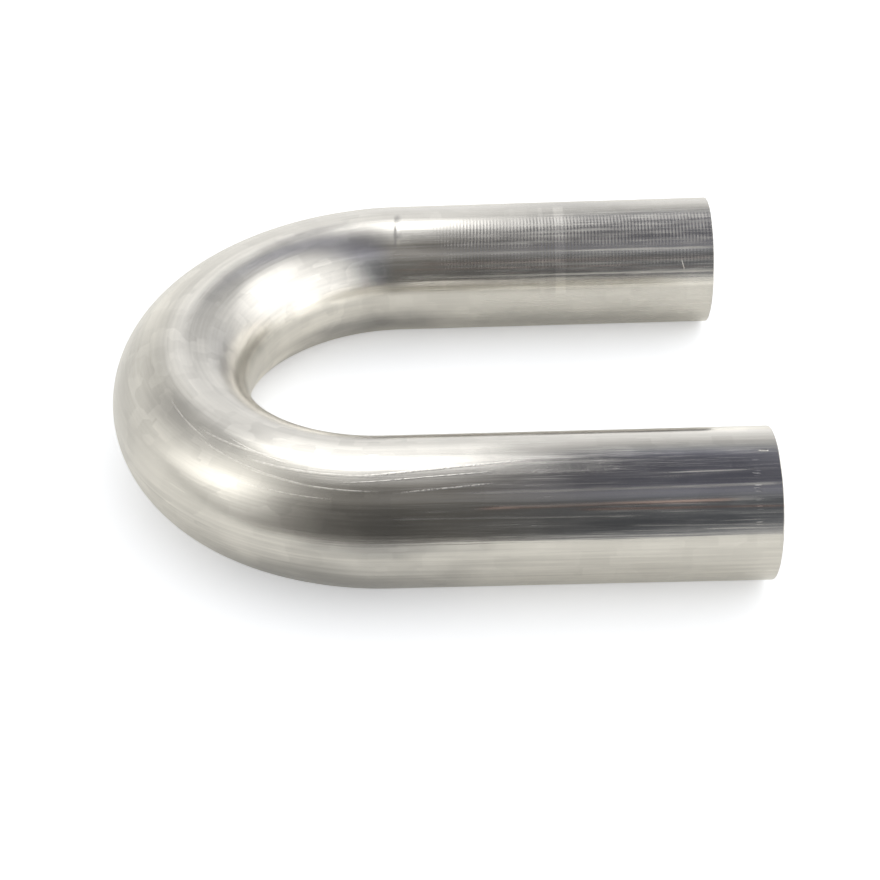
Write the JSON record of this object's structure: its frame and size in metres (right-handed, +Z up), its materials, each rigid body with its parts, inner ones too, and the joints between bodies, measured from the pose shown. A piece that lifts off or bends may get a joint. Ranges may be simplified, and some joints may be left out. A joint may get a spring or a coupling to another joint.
{
  "type": "return bend",
  "caption": "U-shaped return bend of round thin-walled stainless tube, cut square at both straight legs, that turns a flow back on itself.",
  "frame": {"origin": "on the ground under the middle of the bounding box, with the bend lying flat", "axes": "+X runs along both legs, out of their cut faces; +Y points to the far leg; +Z is up, square to the plane of the bend"},
  "size_m": [0.2876, 0.2594, 0.0635],
  "materials": {
    "stainless_steel": "bare, polished along the tube, with the marks of bending"
  },
  "bodies": {
    "root": {"return_bend": "stainless_steel"}
  },
  "joints": []
}
